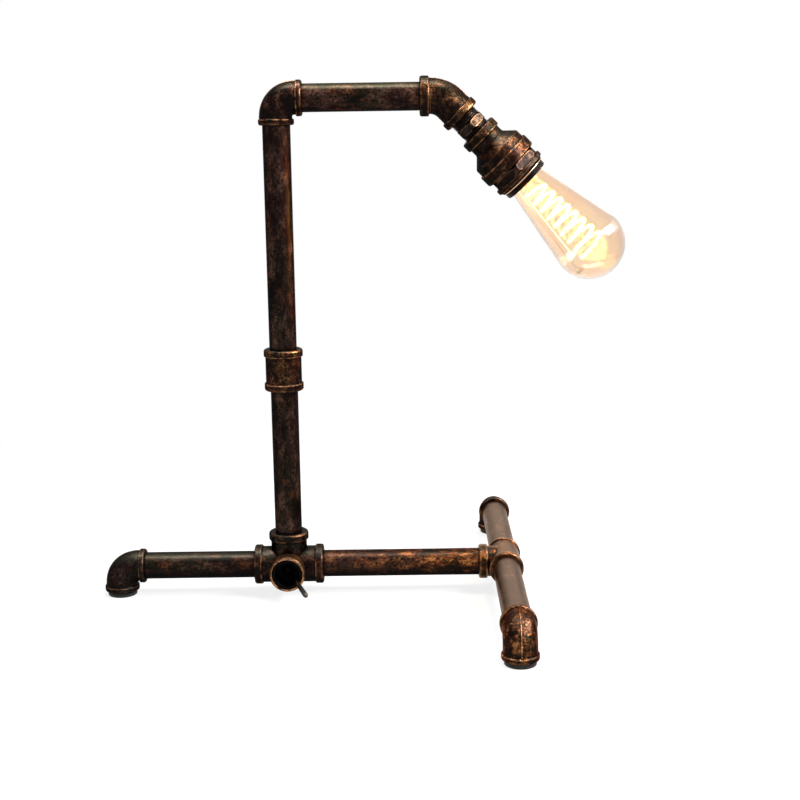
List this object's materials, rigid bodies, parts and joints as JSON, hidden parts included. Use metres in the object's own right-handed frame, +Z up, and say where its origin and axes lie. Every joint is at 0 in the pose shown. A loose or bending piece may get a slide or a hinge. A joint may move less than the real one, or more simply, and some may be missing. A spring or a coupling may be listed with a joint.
{
  "type": "industrial pipe table lamp",
  "caption": "Table lamp of threaded pipe and cast elbows on a T-shaped base, with an upright, a side arm, a toggle switch in the base cross and a spiral filament bulb in a bell-shaped head.",
  "frame": {"origin": "centre of the lamp's overall box, on the table surface", "axes": "+X along the base from the left foot towards the T-bar and the head, +Y away from the switch, +Z up"},
  "size_m": [0.4862, 0.406, 0.4753],
  "materials": {
    "bronze_casting": "antique bronze on cast iron, rubbed to copper on collar edges",
    "bronze_tube": "antique bronze on steel tube, streaked",
    "foot_rubber": "matte",
    "black_moulding": "gloss",
    "switch_casing": "matte",
    "lever_metal": "satin",
    "terminal_metal": "bright",
    "holder_ceramic": "glazed",
    "contact_brass": "bright",
    "cap_metal": "satin",
    "cap_insulator": "gloss",
    "amber_glass": "clear amber",
    "stem_glass": "clear",
    "support_wire": "satin",
    "filament": "glowing",
    "lead_sheath": "matte"
  },
  "bodies": {
    "base": {"base_cross": "bronze_casting", "base_tee": "bronze_casting", "left_foot_elbow": "bronze_casting", "front_foot_elbow": "bronze_casting", "rear_foot_elbow": "bronze_casting", "left_foot_pad": "foot_rubber", "front_foot_pad": "foot_rubber", "rear_foot_pad": "foot_rubber", "base_pipe_left": "bronze_tube", "base_pipe_right": "bronze_tube", "bar_pipe_front": "bronze_tube", "bar_pipe_rear": "bronze_tube", "post_pipe_lower": "bronze_tube", "post_coupling": "bronze_casting", "post_pipe_upper": "bronze_tube", "switch_bezel": "black_moulding", "switch_body": "switch_casing", "switch_terminals": "terminal_metal", "cord_grommet": "foot_rubber", "post_lead": "lead_sheath"},
    "arm": {"top_elbow": "bronze_casting", "arm_pipe": "bronze_tube", "arm_lead": "lead_sheath"},
    "head": {"head_elbow": "bronze_casting", "hex_nipple": "bronze_casting", "bell_reducer": "bronze_casting", "mouth_bushing": "bronze_casting", "holder_body": "holder_ceramic", "holder_shell": "contact_brass", "holder_contact": "contact_brass", "holder_screws": "terminal_metal", "holder_ring": "black_moulding", "bulb_glass": "amber_glass", "bulb_cap": "cap_metal", "bulb_insulator": "cap_insulator", "bulb_contact": "terminal_metal", "bulb_stem": "stem_glass", "bulb_supports": "support_wire", "bulb_filament": "filament", "head_lead": "lead_sheath"},
    "lever": {"switch_lever": "lever_metal"}
  },
  "joints": [
    {"name": "arm_swing", "type": "hinge", "parent": "base", "child": "arm", "pos_m": [-0.0681, 0, 0.4575], "axis": [0, 0, 1], "range_deg": [-60, 60]},
    {"name": "head_turn", "type": "hinge", "parent": "arm", "child": "head", "pos_m": [0.0789, 0, 0.4575], "axis": [1, 0, 0], "range_deg": [-60, 60]},
    {"name": "lever_flick", "type": "hinge", "parent": "base", "child": "lever", "pos_m": [-0.0681, -0.019, 0.0275], "axis": [-0.5592, 0, -0.829], "range_deg": [0, 62]}
  ]
}
